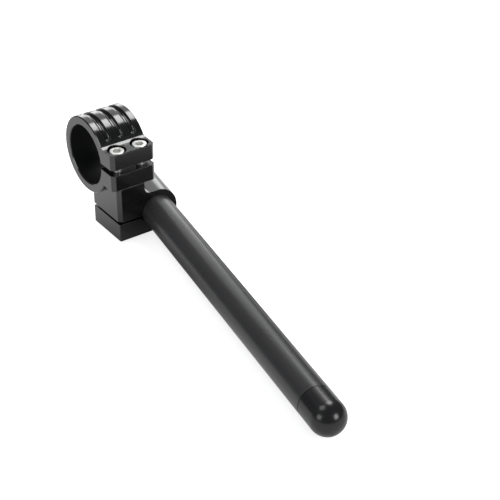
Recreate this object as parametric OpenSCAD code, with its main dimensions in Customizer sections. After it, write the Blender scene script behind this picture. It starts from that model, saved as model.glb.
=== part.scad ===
// Raised clip-on handlebar: a split clamp for the fork tube, a riser neck below it
// and a pinched socket that carries a straight bar with a domed plug in its end.
// The origin is the middle of the fork bore. X runs along the fork tube, the lugs and
// the bar point towards -Y, and the pinch bolts of the fork clamp stand along Z.

/* [Fork clamp] */
// Diameter of the fork tube that the clamp takes
fork_d = 41; // [35:0.5:50]
// Wall of the ring over the ribs
ring_wall = 6; // [5:0.25:9]
// Width of the ring along the fork tube
ring_w = 32.8; // [31:0.2:42]
// Chamfer on the rims of the ring and on the mouths of its bore
ring_rim = 0.6; // [0.2:0.1:1]

/* [Cooling grooves] */
// Number of grooves milled round the ring
groove_count = 3; // [1:1:3]
// Distance from one groove to the next
groove_pitch = 9.4; // [7:0.1:9.8]
// Radius of the ball nose cutter
groove_r = 2.5; // [1.5:0.1:3]
// Depth of a groove below the ribs
groove_depth = 2; // [1:0.1:2.4]
// Angle above the lugs at which a groove starts
groove_front = 45; // [43:1:70]
// Angle that a groove covers round the ring
groove_sweep = 145; // [60:1:150]

/* [Clamp lugs] */
// Distance from the fork axis to the front of the lugs
lug_reach = 35.5; // [34.5:0.25:40]
// Height of the upper lug above the fork axis
lug_top = 14; // [12.5:0.25:15]
// Depth of the lower lug below the fork axis
lug_foot = 12.5; // [10:0.25:14]
// Height of the slit between the lugs
slit_h = 4.3; // [2:0.1:5]
// Height of the middle of the slit above the fork axis
slit_z = 1; // [0:0.1:1.5]
// Chamfer on the upright corners of the lugs and the neck
corner_c = 2.4; // [1:0.1:3]
// Rise of the sloped heel between the upper lug and the ring
heel_rise = 0.8; // [0.5:0.1:3]
// Length of the sloped heel
heel_len = 2.3; // [2:0.1:6]

/* [Fork pinch bolts] */
// Distance between the two bolts
bolt_pitch = 17; // [14:0.25:17.5]
// Distance from the front of the lugs back to the bolts
bolt_inset = 6.7; // [6.6:0.1:7.5]
// Length of the fork bolts under the head
fork_bolt_len = 20; // [16:1:20]
// Diameter of the counterbores in the upper lug
cbore_d = 12.6; // [11:0.1:12.8]
// Depth of the heads below the top of the lug
head_sink = 0.5; // [0:0.1:1]

/* [Bolt form] */
// Thread diameter of every pinch bolt
bolt_d = 6; // [5:0.5:6]
// Diameter of the socket heads
head_d = 10; // [8.5:0.25:10.5]
// Height of the socket heads
head_h = 6; // [5:0.25:6]
// Hexagon socket across its flats
socket_af = 5; // [4:0.5:5]
// Depth of the hexagon socket
socket_depth = 3; // [2:0.25:3.5]

/* [Riser neck] */
// Width of the neck along the fork tube
neck_w = 20.3; // [18:0.1:22]
// Distance from the outer side of the ring to the neck
neck_inset = 3.4; // [2:0.1:5]
// Distance from the fork axis to the back of the neck
neck_back = 2; // [1:0.25:5]
// Fillet where the neck stands on the socket
neck_fillet = 4; // [2:0.25:6]

/* [Bar socket] */
// Diameter of the bar
bar_d = 22.2; // [20:0.1:23]
// Wall of the socket round the bar
socket_wall = 3.9; // [3:0.1:5]
// Sideways distance from the middle of the ring to the bar at the front face
bar_x = 16.15; // [14:0.05:20]
// Angle of the bar towards the outer side of the ring
bar_angle = 9.5; // [0:0.5:12]
// Air between the fork tube and the top of the socket
tube_air = 0.6; // [0.3:0.1:3]
// Height of the pinch slit
pinch_h = 1.9; // [1:0.1:2.5]
// Distance of the middle of the pinch slit below the bar axis
pinch_drop = 1.6; // [0:0.1:3]
// Distance between the two bar pinch bolts
pinch_pitch = 17; // [14:0.5:18]
// Length of the bar pinch bolts under the head
pinch_len = 16; // [14:1:18]

/* [Bar and end plug] */
// Length of bar in the open, from the socket to the end plug
bar_open = 226; // [150:1:260]
// Wall of the bar
bar_wall = 3; // [1.5:0.1:4]
// Distance of the inner end of the bar from the back of the socket
bar_setback = 2.2; // [2.2:0.1:6]
// Length of the straight part of the end plug outside the bar
plug_len = 14.4; // [8:0.2:20]
// Length of the shank of the end plug inside the bar
plug_shank = 18; // [10:0.5:25]
// Round on the outer edge where the plug meets the bar
plug_edge = 0.6; // [0.2:0.1:1]

/* [Fits] */
// Radial air in a tapped hole, in the bar socket and round the plug's shank
fit_air = 0.02; // [0.01:0.01:0.05]
// Radial air round a bolt in a clearance hole
pass_air = 0.3; // [0.2:0.05:0.5]
// Small chamfer on bolt tips, heads and the mouths of holes
edge_c = 0.5; // [0.3:0.1:0.8]

/* [Hidden] */
$fn = 96;
// Overrun that lets a cut pass clean through a face
cut = 1;

fork_r = fork_d / 2;
ring_r = fork_r + ring_wall;
half_w = ring_w / 2;
groove_centre_r = ring_r - groove_depth + groove_r;

bolt_r = bolt_d / 2;
head_r = head_d / 2;
cbore_r = cbore_d / 2;
bolt_reach = lug_reach - bolt_inset;
tap_r = bolt_r + fit_air;
pass_r = bolt_r + pass_air;
fork_seat_z = lug_top - head_sink - head_h;
heel_angle = asin((lug_top + heel_rise) / ring_r);
heel_inner = ring_r * cos(heel_angle);

neck_x0 = -half_w + neck_inset;
neck_x1 = neck_x0 + neck_w;
neck_depth = lug_reach - neck_back;

bar_r = bar_d / 2;
bar_bore_r = bar_r + fit_air;
barrel_r = bar_r + socket_wall;
bar_z = -fork_r - tube_air - barrel_r;
socket_top = bar_z + barrel_r;
socket_bottom = bar_z - barrel_r;
socket_run = neck_depth / cos(bar_angle);
bar_back_x = bar_x + neck_depth * tan(bar_angle);
bar_total = socket_run - bar_setback + bar_open;
tube_bore_r = bar_r - bar_wall;

pinch_top = bar_z - pinch_drop + pinch_h / 2;
pinch_floor = pinch_top - pinch_h;
pinch_x = (neck_x0 + bar_x - bar_bore_r) / 2 + edge_c;
pinch_y = -neck_back - neck_depth / 2;
pinch_seat_z = socket_bottom + head_sink + head_h;
tap_depth = edge_c + pinch_seat_z + pinch_len;

// Turns a shape drawn as (depth towards the front, height) and extruded along its own
// Z into one that runs along the fork tube.
module along_fork() {
    rotate([90, 0, 90])
    mirror([1, 0, 0])
    children();
}

// Puts a shape drawn along Z on the axis of the bar: its origin is in the front face
// of the socket and its Z points towards the end plug.
module along_bar() {
    translate([bar_x, -lug_reach, bar_z])
    rotate([0, 0, -bar_angle])
    rotate([90, 0, 0])
    children();
}

module fork_bolt_places() {
    for (side = [-1, 1])
        translate([side * bolt_pitch / 2, -bolt_reach, 0])
        children();
}

module pinch_bolt_places() {
    for (side = [-1, 1])
        translate([pinch_x, pinch_y + side * pinch_pitch / 2, 0])
        children();
}

// A socket head cap screw with the underside of its head at the origin.
module cap_screw(len) {
    difference() {
        rotate_extrude()
        polygon([
            [0, -len],
            [bolt_r - edge_c, -len],
            [bolt_r, -len + edge_c],
            [bolt_r, 0],
            [head_r, 0],
            [head_r, head_h - edge_c],
            [head_r - edge_c, head_h],
            [0, head_h]
        ]);
        translate([0, 0, head_h - socket_depth])
        cylinder(h = socket_depth + cut, d = socket_af / cos(30), $fn = 6);
    }
}

// The ring with its chamfered rims, solid until the bore is cut.
module ring_blank() {
    along_fork()
    rotate_extrude()
    polygon([
        [0, -half_w],
        [ring_r - ring_rim, -half_w],
        [ring_r, -half_w + ring_rim],
        [ring_r, half_w - ring_rim],
        [ring_r - ring_rim, half_w],
        [0, half_w]
    ]);
}

// Side view of both lugs, with the sloped heel that runs up to the ring.
module lug_profile() {
    polygon([
        [0, -lug_foot],
        [lug_reach - edge_c, -lug_foot],
        [lug_reach, -lug_foot + edge_c],
        [lug_reach, lug_top - edge_c],
        [lug_reach - edge_c, lug_top],
        [heel_inner + heel_len, lug_top],
        [heel_inner, lug_top + heel_rise],
        [0, lug_top + heel_rise]
    ]);
}

// Top view of a block between two sides, chamfered at its front corners.
module block_plan(x0, x1, back, c0, c1) {
    polygon([
        [x0, -back],
        [x0, -lug_reach + c0],
        [x0 + c0, -lug_reach],
        [x1 - c1, -lug_reach],
        [x1, -lug_reach + c1],
        [x1, -back]
    ]);
}

module lugs() {
    intersection() {
        along_fork()
        translate([0, 0, -half_w])
        linear_extrude(ring_w)
        lug_profile();

        translate([0, 0, -ring_r])
        linear_extrude(2 * ring_r)
        block_plan(-half_w, half_w, 0, corner_c, corner_c);
    }
}

// The neck keeps the lugs' chamfer down to the pinch slit and is square below it.
module neck() {
    translate([0, 0, pinch_floor])
    linear_extrude(-lug_foot - pinch_floor)
    block_plan(neck_x0, neck_x1, neck_back, corner_c, edge_c);

    translate([0, 0, socket_bottom])
    linear_extrude(pinch_floor - socket_bottom)
    block_plan(neck_x0, neck_x1, neck_back, edge_c, edge_c);

    translate([neck_x1, -neck_back, socket_top])
    rotate([90, 0, 0])
    linear_extrude(neck_depth)
    difference() {
        translate([-edge_c, -edge_c])
        square(neck_fillet + edge_c);
        translate([neck_fillet, neck_fillet])
        circle(neck_fillet);
    }
}

// The body of the socket: flat on top and bottom as far as the bar axis, and from
// there a barrel round the bar, faced off level with the front and back of the neck.
module socket_blank() {
    translate([0, 0, socket_bottom])
    linear_extrude(2 * barrel_r)
    polygon([
        [neck_x0 + corner_c, -neck_back],
        [neck_x0 + corner_c, -lug_reach],
        [bar_x, -lug_reach],
        [bar_back_x, -neck_back]
    ]);

    intersection() {
        along_bar()
        translate([0, 0, -socket_run - barrel_r])
        cylinder(h = socket_run + 2 * barrel_r, r = barrel_r);

        translate([bar_x - 2 * barrel_r, -lug_reach, socket_bottom - cut])
        cube([4 * barrel_r, neck_depth, 2 * barrel_r + 2 * cut]);
    }
}

module fork_bore() {
    along_fork()
    rotate_extrude()
    polygon([
        [0, -half_w - cut],
        [fork_r + ring_rim + cut, -half_w - cut],
        [fork_r, -half_w + ring_rim],
        [fork_r, half_w - ring_rim],
        [fork_r + ring_rim + cut, half_w + cut],
        [0, half_w + cut]
    ]);
}

// Half of the ball that the cutter leaves at the end of a groove, on the +Y side.
module groove_end() {
    translate([groove_centre_r, 0])
    rotate_extrude(angle = 180)
    intersection() {
        circle(groove_r);
        translate([0, -groove_r])
        square([groove_r, 2 * groove_r]);
    }
}

// One groove: a ball nose cutter carried round the ring, with its round ends.
module groove() {
    rotate([0, 0, groove_front])
    rotate_extrude(angle = groove_sweep)
    translate([groove_centre_r, 0])
    circle(groove_r);

    rotate([0, 0, groove_front])
    mirror([0, 1, 0])
    groove_end();

    rotate([0, 0, groove_front + groove_sweep])
    groove_end();
}

module grooves() {
    first = -(groove_count - 1) / 2;
    along_fork()
    for (i = [0 : groove_count - 1])
        translate([0, 0, (first + i) * groove_pitch])
        groove();
}

module fork_slit() {
    translate([-half_w - cut, -lug_reach - cut, slit_z - slit_h / 2])
    cube([ring_w + 2 * cut, lug_reach + cut, slit_h]);
}

module fork_bolt_holes() {
    fork_bolt_places() {
        translate([0, 0, fork_seat_z])
        cylinder(h = ring_r, r = cbore_r);
        translate([0, 0, slit_z])
        cylinder(h = ring_r, r = pass_r);
        translate([0, 0, fork_seat_z - fork_bolt_len - edge_c - cut])
        cylinder(h = ring_r, r = tap_r);
    }
}

module pinch_slit() {
    translate([neck_x0 - cut, -lug_reach - cut, pinch_floor])
    cube([bar_x - neck_x0 + cut, neck_depth + 2 * cut, pinch_h]);
}

module pinch_bolt_holes() {
    pinch_bolt_places() {
        translate([0, 0, socket_bottom - cut])
        cylinder(h = head_h + head_sink + cut, r = head_r + edge_c);
        translate([0, 0, socket_bottom])
        cylinder(h = pinch_top - socket_bottom - pinch_h / 2, r = pass_r);
        translate([0, 0, socket_bottom])
        cylinder(h = tap_depth - socket_bottom, r = tap_r);
    }
}

module bar_bore() {
    along_bar()
    translate([0, 0, -socket_run - barrel_r])
    cylinder(h = socket_run + 2 * barrel_r, r = bar_bore_r);
}

module clamp_body() {
    color("#1d1e20")
    difference() {
        union() {
            ring_blank();
            lugs();
            neck();
            socket_blank();
        }
        fork_bore();
        grooves();
        fork_slit();
        fork_bolt_holes();
        bar_bore();
        pinch_slit();
        pinch_bolt_holes();
    }
}

module fork_pinch_bolts() {
    color("#b9babd")
    fork_bolt_places()
    translate([0, 0, fork_seat_z])
    cap_screw(fork_bolt_len);
}

module bar_pinch_bolts() {
    color("#b9babd")
    pinch_bolt_places()
    translate([0, 0, pinch_seat_z])
    mirror([0, 0, 1])
    cap_screw(pinch_len);
}

module bar_tube() {
    color("#232426")
    along_bar()
    translate([0, 0, bar_open - bar_total])
    difference() {
        cylinder(h = bar_total, r = bar_r);
        translate([0, 0, -cut])
        cylinder(h = bar_total + 2 * cut, r = tube_bore_r);
    }
}

// The plug ends in a half ball as wide as the bar and is pressed into its bore.
module end_plug() {
    color("#0b0b0c")
    along_bar()
    translate([0, 0, bar_open])
    rotate_extrude()
    union() {
        polygon([
            [0, -plug_shank],
            [tube_bore_r - fit_air - edge_c, -plug_shank],
            [tube_bore_r - fit_air, -plug_shank + edge_c],
            [tube_bore_r - fit_air, 0],
            [bar_r - plug_edge, 0],
            [bar_r, plug_edge],
            [bar_r, plug_len],
            [0, plug_len]
        ]);
        intersection() {
            translate([0, plug_len])
            circle(bar_r);
            translate([0, plug_len - edge_c])
            square(2 * bar_r);
        }
    }
}

clamp_body();
fork_pinch_bolts();
bar_pinch_bolts();
bar_tube();
end_plug();
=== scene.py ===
import math

import bmesh
import bpy
from mathutils import Matrix, Vector


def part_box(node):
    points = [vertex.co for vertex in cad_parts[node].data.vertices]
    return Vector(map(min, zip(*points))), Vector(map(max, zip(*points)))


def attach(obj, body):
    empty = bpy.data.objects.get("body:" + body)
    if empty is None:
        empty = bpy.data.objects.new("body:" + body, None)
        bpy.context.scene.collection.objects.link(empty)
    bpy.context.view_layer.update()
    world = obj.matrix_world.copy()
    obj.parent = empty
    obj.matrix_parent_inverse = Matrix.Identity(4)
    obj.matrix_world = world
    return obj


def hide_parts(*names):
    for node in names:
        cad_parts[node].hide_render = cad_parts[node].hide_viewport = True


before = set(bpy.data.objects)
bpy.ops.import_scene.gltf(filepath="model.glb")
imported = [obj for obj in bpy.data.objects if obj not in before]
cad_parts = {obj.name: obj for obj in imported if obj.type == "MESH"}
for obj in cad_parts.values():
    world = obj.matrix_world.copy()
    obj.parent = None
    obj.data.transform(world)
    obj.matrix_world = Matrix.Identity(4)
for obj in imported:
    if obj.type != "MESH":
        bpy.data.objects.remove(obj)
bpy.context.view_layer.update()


# Clamp body: one billet of aluminium, milled to a ring, two lugs, a riser neck and the
# bar socket, then polished lightly and anodised gloss black. Its edges are only just
# broken. Their rounded normals catch the light, and a lighter grey is painted along them
# as a highlight, which makes the thin bright lines.
MM = 0.001
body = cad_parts["clamp_body"]


def new_group(name, inputs, outputs):
    """An empty node group with named sockets, and its two end nodes."""
    group = bpy.data.node_groups.new(name, "ShaderNodeTree")
    for label, kind, value in inputs:
        socket = group.interface.new_socket(name=label, in_out="INPUT", socket_type=kind)
        if value is not None:
            socket.default_value = value
    for label, kind in outputs:
        group.interface.new_socket(name=label, in_out="OUTPUT", socket_type=kind)
    return group, group.nodes.new("NodeGroupInput"), group.nodes.new("NodeGroupOutput")


def math_node(tree, operation, a, b=None, clamp=False):
    """A Math node whose inputs are sockets or plain numbers, giving its output socket."""
    node = tree.nodes.new("ShaderNodeMath")
    node.operation = operation
    node.use_clamp = clamp
    for index, value in enumerate((a, b)):
        if value is None:
            continue
        if isinstance(value, (int, float)):
            node.inputs[index].default_value = value
        else:
            tree.links.new(value, node.inputs[index])
    return node.outputs[0]


def mix_colour(tree, factor, first, second):
    """A colour mix of two sockets or plain colours, giving its output socket."""
    node = tree.nodes.new("ShaderNodeMix")
    node.data_type = "RGBA"
    tree.links.new(factor, node.inputs["Factor"])
    for socket, value in ((node.inputs["A"], first), (node.inputs["B"], second)):
        if isinstance(value, tuple):
            socket.default_value = value
        else:
            tree.links.new(value, socket)
    return node.outputs["Result"]


# Edge highlight: how far the surface normal turns within a small radius, as a mask along
# the broken edges on which a lighter colour is painted as a highlight, and that rounded
# normal itself.
PAINTED_HIGHLIGHT_GAIN = 6.0
edge_round_and_painted_highlight, enter, leave = new_group(
    "edge_round_and_painted_highlight",
    [("Radius", "NodeSocketFloat", 0.0003), ("Strength", "NodeSocketFloat", 1.0)],
    [("Mask", "NodeSocketFloat"), ("Normal", "NodeSocketVector")],
)
rounder = edge_round_and_painted_highlight.nodes.new("ShaderNodeBevel")
rounder.samples = 8
edge_round_and_painted_highlight.links.new(enter.outputs["Radius"], rounder.inputs["Radius"])
surface = edge_round_and_painted_highlight.nodes.new("ShaderNodeNewGeometry")
turn = edge_round_and_painted_highlight.nodes.new("ShaderNodeVectorMath")
turn.operation = "DOT_PRODUCT"
edge_round_and_painted_highlight.links.new(rounder.outputs["Normal"], turn.inputs[0])
edge_round_and_painted_highlight.links.new(surface.outputs["Normal"], turn.inputs[1])
away = math_node(edge_round_and_painted_highlight, "SUBTRACT", 1.0, turn.outputs["Value"], clamp=True)
away = math_node(edge_round_and_painted_highlight, "MULTIPLY", away, PAINTED_HIGHLIGHT_GAIN)
away = math_node(edge_round_and_painted_highlight, "MULTIPLY", away, enter.outputs["Strength"], clamp=True)
edge_round_and_painted_highlight.links.new(away, leave.inputs["Mask"])
edge_round_and_painted_highlight.links.new(rounder.outputs["Normal"], leave.inputs["Normal"])

# Surface grain: fine even pits of a blasted or moulded skin, with slow patches of
# wiped and unwiped finish over them.
surface_grain, enter, leave = new_group(
    "surface_grain",
    [
        ("Vector", "NodeSocketVector", None),
        ("Fine Scale", "NodeSocketFloat", 2500.0),
        ("Patch Scale", "NodeSocketFloat", 40.0),
    ],
    [("Height", "NodeSocketFloat"), ("Patches", "NodeSocketFloat")],
)
fine = surface_grain.nodes.new("ShaderNodeTexNoise")
fine.inputs["Detail"].default_value = 3.0
fine.inputs["Roughness"].default_value = 0.6
surface_grain.links.new(enter.outputs["Vector"], fine.inputs["Vector"])
surface_grain.links.new(enter.outputs["Fine Scale"], fine.inputs["Scale"])
slow = surface_grain.nodes.new("ShaderNodeTexNoise")
slow.inputs["Detail"].default_value = 5.0
slow.inputs["Roughness"].default_value = 0.55
surface_grain.links.new(enter.outputs["Vector"], slow.inputs["Vector"])
surface_grain.links.new(enter.outputs["Patch Scale"], slow.inputs["Scale"])
surface_grain.links.new(fine.outputs["Fac"], leave.inputs["Height"])
surface_grain.links.new(slow.outputs["Fac"], leave.inputs["Patches"])


def place_group(tree, group, **values):
    """Puts a shared group into a material with its own values on the named inputs."""
    node = tree.nodes.new("ShaderNodeGroup")
    node.node_tree = group
    for label, value in values.items():
        node.inputs[label.replace("_", " ")].default_value = value
    return node


def span(tree, value, low, high):
    """Maps a 0 to 1 socket onto low to high, giving the output socket."""
    node = tree.nodes.new("ShaderNodeMapRange")
    node.inputs["To Min"].default_value = low
    node.inputs["To Max"].default_value = high
    tree.links.new(value, node.inputs["Value"])
    return node.outputs["Result"]


def finish_material(
    name, dark, light, rough, metal, ior, grain, bump,
    edge_radius, painted_edge_highlight, painted_highlight_strength, turn_z=0.0, stretch=(1, 1, 1),
):
    """A skin with patches between two colours, grain in its gloss, rounded edges and a painted
    highlight along them.
    """
    material = bpy.data.materials.new(name)
    material.use_nodes = True
    tree = material.node_tree
    shader = tree.nodes["Principled BSDF"]
    shader.inputs["Metallic"].default_value = metal
    shader.inputs["IOR"].default_value = ior
    where = tree.nodes.new("ShaderNodeTexCoord")
    place = tree.nodes.new("ShaderNodeMapping")
    place.inputs["Rotation"].default_value = (0.0, 0.0, turn_z)
    place.inputs["Scale"].default_value = stretch
    tree.links.new(where.outputs["Object"], place.inputs["Vector"])
    skin = place_group(tree, surface_grain, Fine_Scale=grain[0], Patch_Scale=grain[1])
    tree.links.new(place.outputs["Vector"], skin.inputs["Vector"])
    edge = place_group(tree, edge_round_and_painted_highlight, Radius=edge_radius, Strength=painted_highlight_strength)
    colour = mix_colour(tree, skin.outputs["Patches"], dark, light)
    # Painted highlight: the edge mask mixes a lighter colour in along the broken edges.
    colour = mix_colour(tree, edge.outputs["Mask"], colour, painted_edge_highlight)
    tree.links.new(colour, shader.inputs["Base Color"])
    gloss = span(tree, skin.outputs["Patches"], rough[0], rough[1])
    fleck = span(tree, skin.outputs["Height"], -rough[2], rough[2])
    gloss = math_node(tree, "ADD", gloss, fleck, clamp=True)
    tree.links.new(gloss, shader.inputs["Roughness"])
    relief = tree.nodes.new("ShaderNodeBump")
    relief.inputs["Strength"].default_value = bump[0]
    relief.inputs["Distance"].default_value = bump[1]
    tree.links.new(skin.outputs["Height"], relief.inputs["Height"])
    tree.links.new(edge.outputs["Normal"], relief.inputs["Normal"])
    tree.links.new(relief.outputs["Normal"], shader.inputs["Normal"])
    return material


def dress(piece, material):
    """Gives a piece one material in place of what it came with."""
    piece.data.materials.clear()
    piece.data.materials.append(material)


# The edge colour, far lighter than the black, is a painted highlight along the edges.
body_black = finish_material(
    "gloss_black_anodised",
    dark=(0.004, 0.004, 0.0042, 1), light=(0.009, 0.009, 0.0095, 1),
    rough=(0.13, 0.20, 0.05), metal=0.0, ior=1.72,
    grain=(1500.0, 55.0), bump=(0.42, 0.00004),
    edge_radius=0.35 * MM, painted_edge_highlight=(0.12, 0.12, 0.125, 1), painted_highlight_strength=0.8,
)
# The bore of the ring is left as it was turned: rougher and duller than the polished
# outside. The material tells it by the distance from the axis of the fork tube, X.
BORE_R = 20.5 * MM
BORE_SKIN = 0.1 * MM
BORE_ROUGHER = 0.4
OUTSIDE_SHINE, BORE_SHINE = 0.5, 0.15
tree = body_black.node_tree
shader = tree.nodes["Principled BSDF"]
where = tree.nodes.new("ShaderNodeTexCoord")
across_fork = tree.nodes.new("ShaderNodeVectorMath")
across_fork.operation = "MULTIPLY"
across_fork.inputs[1].default_value = (0, 1, 1)
tree.links.new(where.outputs["Object"], across_fork.inputs[0])
from_axis = tree.nodes.new("ShaderNodeVectorMath")
from_axis.operation = "LENGTH"
tree.links.new(across_fork.outputs["Vector"], from_axis.inputs[0])
in_bore = math_node(tree, "LESS_THAN", from_axis.outputs["Value"], BORE_R + BORE_SKIN)
polish = shader.inputs["Roughness"].links[0].from_socket
turned = math_node(tree, "MULTIPLY", in_bore, BORE_ROUGHER)
tree.links.new(math_node(tree, "ADD", polish, turned), shader.inputs["Roughness"])
shine = span(tree, in_bore, OUTSIDE_SHINE, BORE_SHINE)
tree.links.new(shine, shader.inputs["Specular IOR Level"])
dress(body, body_black)


# Bar: a drawn aluminium tube of 22.2 mm, anodised satin black. It is clamped in the
# socket with its plain cut end inside, and leans 9.5 degrees to the outer side.
LEAN = math.radians(9.5)
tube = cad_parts["bar_tube"]
# The edge colour, a little lighter, is a painted highlight along the edges.
tube_black = finish_material(
    "satin_black_anodised",
    dark=(0.036, 0.036, 0.037, 1), light=(0.050, 0.050, 0.0515, 1),
    rough=(0.25, 0.32, 0.04), metal=0.0, ior=1.46,
    grain=(2400.0, 60.0), bump=(0.18, 0.00003),
    edge_radius=0.2 * MM, painted_edge_highlight=(0.05, 0.05, 0.052, 1), painted_highlight_strength=0.4,
    turn_z=LEAN, stretch=(1.0, 0.12, 1.0),
)
dress(tube, tube_black)


# End plug: a moulded gloss black plug with a half-ball nose, pressed into the open end
# of the bar so that only a fine joint line shows between them.
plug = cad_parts["end_plug"]
# The edge colour, a little lighter, is a painted highlight along the edges.
plug_black = finish_material(
    "gloss_black_moulding",
    dark=(0.014, 0.014, 0.015, 1), light=(0.022, 0.022, 0.023, 1),
    rough=(0.20, 0.27, 0.02), metal=0.0, ior=1.46,
    grain=(900.0, 90.0), bump=(0.04, 0.00002),
    edge_radius=0.15 * MM, painted_edge_highlight=(0.04, 0.04, 0.04, 1), painted_highlight_strength=0.3,
)
dress(plug, plug_black)


# Pinch bolts: bright zinc plated M6 socket head screws with rolled threads, two down
# through the lugs of the ring and two up through the lower plate of the socket. They
# stand where the solids' bolts do, with a rounded crown, a broached hexagon and a thread.
HEAD_H = 6.0 * MM
CROWN_ROUND = 0.5 * MM
HEX_ACROSS = 5.0 * MM
HEX_DEPTH = 2.8 * MM
HEX_ROUND = 0.6 * HEX_ACROSS
DRILL_POINT = 0.8 * MM
CORE_R = 2.42 * MM
TIP_CHAMFER = 0.7 * MM
THREAD_R = 3.0 * MM
THREAD_PITCH = 1.0 * MM
THREAD_HALF = 0.42 * THREAD_PITCH
THREAD_ROOT = 0.1 * MM
THREAD_RUNOUT = 1.5 * THREAD_PITCH
TURN_STEPS = 48
MERGE = 0.001 * MM


def spun(mesh, outline):
    """Turns an open outline of (radius, height) points once round Z, closed on itself."""
    points = [mesh.verts.new((radius, 0.0, height)) for radius, height in outline]
    edges = [mesh.edges.new(pair) for pair in zip(points, points[1:])]
    bmesh.ops.spin(
        mesh, geom=points + edges, cent=(0, 0, 0), axis=(0, 0, 1),
        angle=math.tau, steps=TURN_STEPS, use_merge=True,
    )


def arc(centre, radius, first, last, count):
    """Points on an arc in the (radius, height) plane, angles in degrees."""
    steps = [math.radians(first + (last - first) * i / count) for i in range(count + 1)]
    return [(centre[0] + radius * math.cos(a), centre[1] + radius * math.sin(a)) for a in steps]


def screw_mesh(length, head_r):
    """A socket head screw with the underside of its head at the origin, as a bmesh."""
    mesh = bmesh.new()
    crown = arc((head_r - CROWN_ROUND, HEAD_H - CROWN_ROUND), CROWN_ROUND, 0, 90, 6)
    spun(mesh, [
        (0.0, -length),
        (CORE_R - TIP_CHAMFER, -length),
        (CORE_R, -length + TIP_CHAMFER),
        (CORE_R, 0.0),
        (head_r, 0.0),
    ] + crown)
    bmesh.ops.remove_doubles(mesh, verts=mesh.verts, dist=MERGE)
    rim = [e for e in mesh.edges if e.is_boundary]
    corners = bmesh.ops.create_circle(
        mesh, segments=6, radius=HEX_ACROSS / 2 / math.cos(math.pi / 6),
        matrix=Matrix.Translation((0, 0, HEAD_H)),
    )["verts"]
    mouth = [mesh.edges.get(pair) for pair in zip(corners, corners[1:] + corners[:1])]
    bmesh.ops.triangle_fill(mesh, use_beauty=True, edges=rim + mouth, normal=(0, 0, 1))
    walls = bmesh.ops.extrude_edge_only(mesh, edges=mouth)["geom"]
    floor_points = [g for g in walls if isinstance(g, bmesh.types.BMVert)]
    ring = set(floor_points)
    floor_edges = [
        g for g in walls
        if isinstance(g, bmesh.types.BMEdge) and ring.issuperset(g.verts)
    ]
    bmesh.ops.translate(mesh, verts=floor_points, vec=(0, 0, -HEX_DEPTH))
    cone = bmesh.ops.extrude_edge_only(mesh, edges=floor_edges)["geom"]
    cone_points = [g for g in cone if isinstance(g, bmesh.types.BMVert)]
    point = (0, 0, HEAD_H - HEX_DEPTH - DRILL_POINT)
    bmesh.ops.pointmerge(mesh, verts=cone_points, merge_co=point)
    bmesh.ops.recalc_face_normals(mesh, faces=mesh.faces)

    # The broached socket is greyer than the plated outside, so its faces are marked.
    dull = mesh.faces.layers.float.new("dull")
    for face in mesh.faces:
        broached = all(v.co.xy.length < HEX_ROUND and v.co.z > 0 for v in face.verts)
        face[dull] = 1.0 if broached else 0.0

    # The thread is a ridge of triangular section, wound up the core from the tip.
    turns = int((length - THREAD_RUNOUT) / THREAD_PITCH)
    root = CORE_R - THREAD_ROOT
    section = [
        mesh.verts.new((root, 0, -length + THREAD_HALF)),
        mesh.verts.new((THREAD_R, 0, -length + 2 * THREAD_HALF)),
        mesh.verts.new((root, 0, -length + 3 * THREAD_HALF)),
    ]
    cap = mesh.faces.new(section)
    bmesh.ops.spin(
        mesh, geom=[cap] + list(cap.edges) + section, cent=(0, 0, 0), axis=(0, 0, 1),
        dvec=(0, 0, THREAD_PITCH / TURN_STEPS), angle=math.tau * turns,
        steps=TURN_STEPS * turns, use_duplicate=False,
    )
    bmesh.ops.recalc_face_normals(mesh, faces=mesh.faces)
    return mesh


def place_screws(name, node, seats, length, head_r, turn):
    """One piece of several screws on their seats, which stands for the bolts of a node."""
    whole = bmesh.new()
    for seat in seats:
        single = screw_mesh(length, head_r)
        bmesh.ops.transform(single, matrix=Matrix.Translation(seat) @ turn, verts=single.verts)
        passed = bpy.data.meshes.new("passed")
        single.to_mesh(passed)
        single.free()
        whole.from_mesh(passed)
        bpy.data.meshes.remove(passed)
    data = bpy.data.meshes.new(name)
    whole.to_mesh(data)
    whole.free()
    piece = bpy.data.objects.new(name, data)
    bpy.context.scene.collection.objects.link(piece)
    data.shade_smooth()
    data.set_sharp_from_angle(angle=math.radians(35))
    dress(piece, bolt_bright)
    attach(piece, "root")
    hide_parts(node)


# The edge colour, a little lighter, is a painted highlight along the edges.
bolt_bright = finish_material(
    "bright_zinc_steel",
    dark=(0.68, 0.68, 0.66, 1), light=(0.84, 0.84, 0.81, 1),
    rough=(0.22, 0.34, 0.05), metal=1.0, ior=1.5,
    grain=(1500.0, 300.0), bump=(0.15, 0.00003),
    edge_radius=0.15 * MM, painted_edge_highlight=(0.85, 0.85, 0.84, 1), painted_highlight_strength=0.5,
)
PLATED, BROACHED = 1.0, 0.65
tree = bolt_bright.node_tree
marked = tree.nodes.new("ShaderNodeAttribute")
marked.attribute_name = "dull"
metal = span(tree, marked.outputs["Fac"], PLATED, BROACHED)
tree.links.new(metal, tree.nodes["Principled BSDF"].inputs["Metallic"])

# Both pairs stand on the faces where the solids' heads do.
low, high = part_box("fork_pinch_bolts")
head_r = (high[1] - low[1]) / 2
across = (low[1] + high[1]) / 2
seat = high[2] - HEAD_H
place_screws(
    "fork_screws", "fork_pinch_bolts",
    [(low[0] + head_r, across, seat), (high[0] - head_r, across, seat)],
    seat - low[2], head_r, Matrix(),
)
low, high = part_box("bar_pinch_bolts")
across = (low[0] + high[0]) / 2
seat = low[2] + HEAD_H
place_screws(
    "bar_screws", "bar_pinch_bolts",
    [(across, low[1] + head_r, seat), (across, high[1] - head_r, seat)],
    high[2] - seat, head_r, Matrix.Rotation(math.pi, 4, "X"),
)
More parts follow.
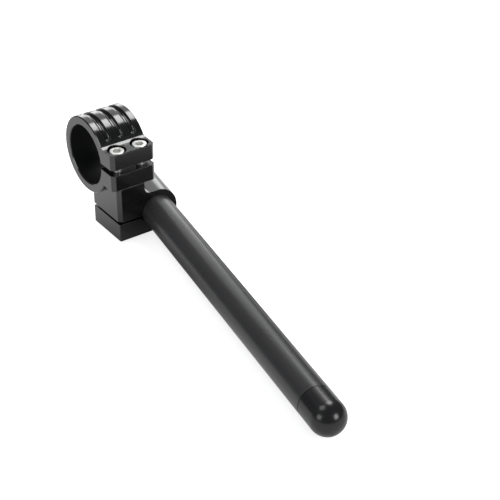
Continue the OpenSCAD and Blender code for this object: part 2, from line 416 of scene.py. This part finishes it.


# Floor: a plain pale sheet that the underside of the socket stands on. It looks white to
# the camera and keeps the soft shadow of the part. In mirrored rays it is painted darker,
# most of all towards the foot of the clamp. This is a painted shade in the reflections,
# standing in for the shade that falls there, so that the black faces stay black.
FLOOR_HALF = 3.0
FLOOR_PAINT = 0.8
FLOOR_GLOW = 0.75
# Painted shade seen only in mirrored rays: where its darkest part sits, how far it reaches and
# its tones.
MIRROR_SHADE_CENTRE = (0.042, -0.079, -0.051)
MIRROR_SHADE_REACH = (0.03, 0.12)
MIRROR_SHADE_TONE = (0.08, 0.66)
floor_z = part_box("clamp_body")[0][2]
floor_mesh = bmesh.new()
bmesh.ops.create_grid(floor_mesh, x_segments=1, y_segments=1, size=FLOOR_HALF)
bmesh.ops.translate(floor_mesh, verts=floor_mesh.verts, vec=(0, 0, floor_z))
floor_data = bpy.data.meshes.new("studio_floor")
floor_mesh.to_mesh(floor_data)
floor_mesh.free()
floor = bpy.data.objects.new("studio_floor", floor_data)
bpy.context.scene.collection.objects.link(floor)
floor_paint = bpy.data.materials.new("floor_paint")
floor_paint.use_nodes = True
tree = floor_paint.node_tree
tree.nodes.remove(tree.nodes["Principled BSDF"])
lit = tree.nodes.new("ShaderNodeBsdfDiffuse")
glow = tree.nodes.new("ShaderNodeEmission")
both = tree.nodes.new("ShaderNodeAddShader")
tree.links.new(lit.outputs[0], both.inputs[0])
tree.links.new(glow.outputs[0], both.inputs[1])
tree.links.new(both.outputs[0], tree.nodes["Material Output"].inputs["Surface"])
spot = tree.nodes.new("ShaderNodeTexCoord")
toward = tree.nodes.new("ShaderNodeVectorMath")
toward.operation = "DISTANCE"
toward.inputs[1].default_value = MIRROR_SHADE_CENTRE
tree.links.new(spot.outputs["Object"], toward.inputs[0])
fall = tree.nodes.new("ShaderNodeMapRange")
fall.interpolation_type = "SMOOTHSTEP"
fall.inputs["From Min"].default_value = MIRROR_SHADE_REACH[0]
fall.inputs["From Max"].default_value = MIRROR_SHADE_REACH[1]
fall.inputs["To Min"].default_value = MIRROR_SHADE_TONE[0]
fall.inputs["To Max"].default_value = MIRROR_SHADE_TONE[1]
tree.links.new(toward.outputs["Value"], fall.inputs["Value"])
# Painted shade: only mirrored rays see the floor's colour and glow scaled down by that tone.
path = tree.nodes.new("ShaderNodeLightPath")
glossy, through = path.outputs["Is Glossy Ray"], path.outputs["Is Transmission Ray"]
mirrored = math_node(tree, "MAXIMUM", glossy, through)
seen = math_node(tree, "MAXIMUM", mirrored, path.outputs["Is Camera Ray"])
tone = math_node(tree, "SUBTRACT", 1.0, fall.outputs["Result"])
tone = math_node(tree, "MULTIPLY", tone, mirrored)
tone = math_node(tree, "SUBTRACT", 1.0, tone)
tree.links.new(math_node(tree, "MULTIPLY", tone, FLOOR_PAINT), lit.inputs["Color"])
strength = math_node(tree, "MULTIPLY", tone, FLOOR_GLOW)
tree.links.new(math_node(tree, "MULTIPLY", strength, seen), glow.inputs["Strength"])
floor_data.materials.append(floor_paint)


# Studio light: two soft boxes overhead, a low one on each side of the camera, and two
# pale walls behind the part, the brighter one near the floor. The room is dim.
def soft_box(name, place, aim, size, power):
    """A rectangular area lamp at a place, turned to face a point."""
    lamp = bpy.data.lights.new(name, "AREA")
    lamp.shape = "RECTANGLE"
    lamp.size = size[0]
    lamp.size_y = size[1]
    lamp.energy = power
    holder = bpy.data.objects.new(name, lamp)
    facing = (aim - place).to_track_quat("-Z", "Y")
    holder.matrix_world = Matrix.Translation(place) @ facing.to_matrix().to_4x4()
    bpy.context.scene.collection.objects.link(holder)


CAMERA_TURN = math.radians(35.11)
VIEW_RIGHT = Vector((math.cos(CAMERA_TURN), -math.sin(CAMERA_TURN), 0))
VIEW_AHEAD = Vector((math.sin(CAMERA_TURN), math.cos(CAMERA_TURN), 0))
UP = Vector((0, 0, 1))
OVER_BAR = Vector((0.0, -0.1, 0.0))
MIDDLE = Vector((0.0, -0.1, -0.03))


def from_view(right, ahead, up, distance):
    """A point at a distance from the part in a direction told from the camera's side."""
    way = right * VIEW_RIGHT + ahead * VIEW_AHEAD + up * UP
    return OVER_BAR + way.normalized() * distance


soft_box("overhead_box", from_view(0.21, 0.55, 0.85, 1.3), MIDDLE, (0.5, 0.6), 7.4)
soft_box("left_overhead", from_view(-0.41, 0.03, 0.91, 1.26), MIDDLE, (0.6, 0.6), 3.4)
soft_box("left_box", from_view(-0.70, -0.61, 0.37, 1.5), MIDDLE, (0.60, 0.60), 4.2)
soft_box("right_box", from_view(0.73, -0.56, 0.39, 1.5), MIDDLE, (0.52, 0.52), 7.0)
soft_box("back_wall", from_view(-0.05, 0.90, 0.44, 1.6), MIDDLE, (1.05, 1.4), 4.6)
soft_box("low_wall", from_view(-0.19, 0.96, 0.17, 1.6), MIDDLE, (1.25, 0.6), 5.7)
world = bpy.data.worlds.new("dim_room")
bpy.context.scene.world = world
world.use_nodes = True
room = world.node_tree.nodes["Background"]
room.inputs["Color"].default_value = (0.9, 0.95, 1.0, 1)
room.inputs["Strength"].default_value = 0.10


# Camera: the place and lens that put the ring, lugs, socket and plug where the
# photograph has them, with the frame taken as 500 by 500 pixels.
FRAME_PX = 500
FOCAL_PX = 1435.0
CAMERA_DIP = math.radians(32.85)
ORIGIN_FROM_CAMERA = (-95.6, 841.0, -461.9)
camera_data = bpy.data.cameras.new("photo_camera")
camera_data.sensor_width = 36.0
camera_data.lens = FOCAL_PX / FRAME_PX * camera_data.sensor_width
camera_data.clip_start = 0.01
camera = bpy.data.objects.new("photo_camera", camera_data)
right_mm, ahead_mm, up_mm = ORIGIN_FROM_CAMERA
eye = -(right_mm * VIEW_RIGHT + ahead_mm * VIEW_AHEAD + up_mm * UP) * MM
look = VIEW_AHEAD * math.cos(CAMERA_DIP) - UP * math.sin(CAMERA_DIP)
camera.matrix_world = Matrix.Translation(eye) @ look.to_track_quat("-Z", "Y").to_matrix().to_4x4()
bpy.context.scene.collection.objects.link(camera)
bpy.context.scene.camera = camera
bpy.context.scene.view_settings.view_transform = "Standard"
